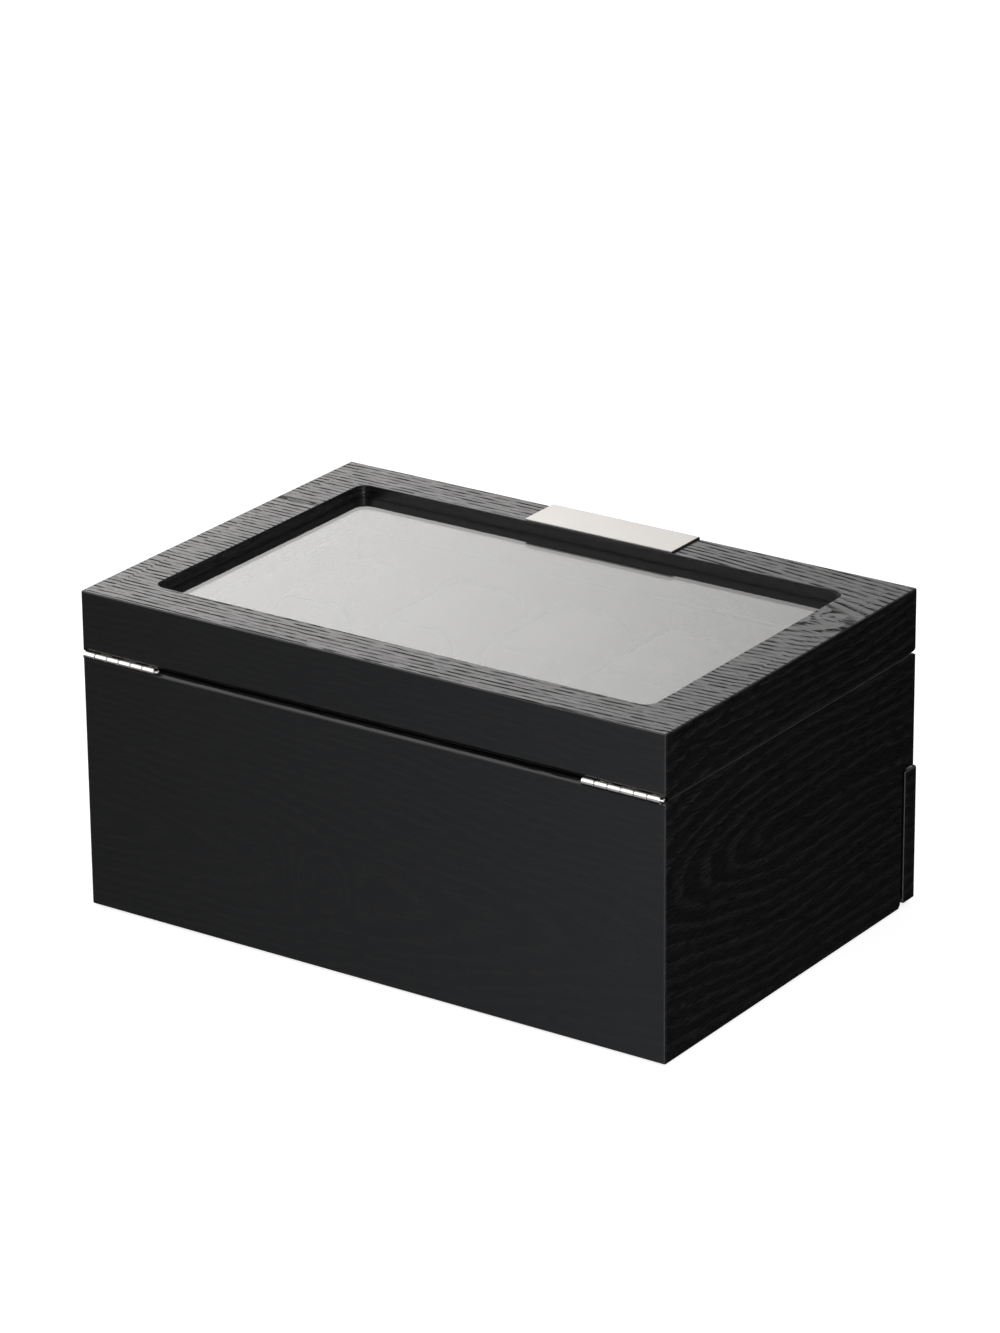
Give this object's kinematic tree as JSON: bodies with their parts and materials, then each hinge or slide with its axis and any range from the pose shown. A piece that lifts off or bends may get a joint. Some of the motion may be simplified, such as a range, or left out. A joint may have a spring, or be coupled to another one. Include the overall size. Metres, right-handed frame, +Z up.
{
  "type": "watch box",
  "caption": "Black oak-veneer watch box: hinged lid with a glass window, cushioned compartments beneath it, and a full-width cushioned drawer below.",
  "frame": {"origin": "centre of the underside of the felt base, on the surface the box stands on", "axes": "+Z up; -Y towards the front, where the drawer and the lid plate are; +Y towards the hinges; +X to the right seen from the front"},
  "size_m": [0.31, 0.2206, 0.154],
  "materials": {
    "black_veneer": "open-pore oak veneer stained black, satin lacquer",
    "stained_board": "black-stained board, matt",
    "velour": "black velour on card",
    "cushion_cloth": "black velour cushion cover",
    "base_felt": "black felt",
    "window_glass": "clear float glass",
    "satin_steel": "fine satin, rolled",
    "bright_nickel": "bright nickel plate"
  },
  "bodies": {
    "case": {"case_left_side": "black_veneer", "case_right_side": "black_veneer", "case_back_panel": "black_veneer", "case_front_rail": "black_veneer", "case_bottom_panel": "stained_board", "felt_base": "base_felt", "tray_floor": "stained_board", "tray_lining": "velour", "tray_long_divider": "velour", "tray_cross_divider_1": "velour", "tray_cross_divider_2": "velour", "tray_cross_divider_3": "velour", "tray_cross_divider_4": "velour", "tray_cushion_1": "cushion_cloth", "tray_cushion_2": "cushion_cloth", "tray_cushion_3": "cushion_cloth", "tray_cushion_4": "cushion_cloth", "tray_cushion_5": "cushion_cloth", "tray_cushion_6": "cushion_cloth", "tray_cushion_7": "cushion_cloth", "tray_cushion_8": "cushion_cloth", "tray_cushion_9": "cushion_cloth", "tray_cushion_10": "cushion_cloth", "hinge_left_case_leaf": "bright_nickel", "hinge_right_case_leaf": "bright_nickel", "hinge_left_pin": "bright_nickel", "hinge_right_pin": "bright_nickel"},
    "lid": {"lid_top_frame": "black_veneer", "lid_front_rail": "black_veneer", "lid_back_rail": "black_veneer", "lid_left_rail": "black_veneer", "lid_right_rail": "black_veneer", "lid_glass": "window_glass", "glass_retainer": "velour", "lid_plate": "satin_steel", "hinge_left_lid_leaf": "bright_nickel", "hinge_right_lid_leaf": "bright_nickel"},
    "drawer": {"drawer_front": "black_veneer", "drawer_left_side": "stained_board", "drawer_right_side": "stained_board", "drawer_back": "stained_board", "drawer_bottom": "stained_board", "drawer_lining": "velour", "drawer_long_divider": "velour", "drawer_cross_divider_1": "velour", "drawer_cross_divider_2": "velour", "drawer_cross_divider_3": "velour", "drawer_cross_divider_4": "velour", "drawer_cushion_1": "cushion_cloth", "drawer_cushion_2": "cushion_cloth", "drawer_cushion_3": "cushion_cloth", "drawer_cushion_4": "cushion_cloth", "drawer_cushion_5": "cushion_cloth", "drawer_cushion_6": "cushion_cloth", "drawer_cushion_7": "cushion_cloth", "drawer_cushion_8": "cushion_cloth", "drawer_cushion_9": "cushion_cloth", "drawer_cushion_10": "cushion_cloth", "drawer_pull": "satin_steel"}
  },
  "joints": [
    {"name": "lid_hinge", "type": "hinge", "parent": "case", "child": "lid", "pos_m": [0, 0.1036, 0.123], "axis": [-1, 0, 0], "range_deg": [0, 100]},
    {"name": "drawer_slide", "type": "slide", "parent": "case", "child": "drawer", "axis": [0, -1, 0], "range_m": [-0.003, 0.15]}
  ]
}
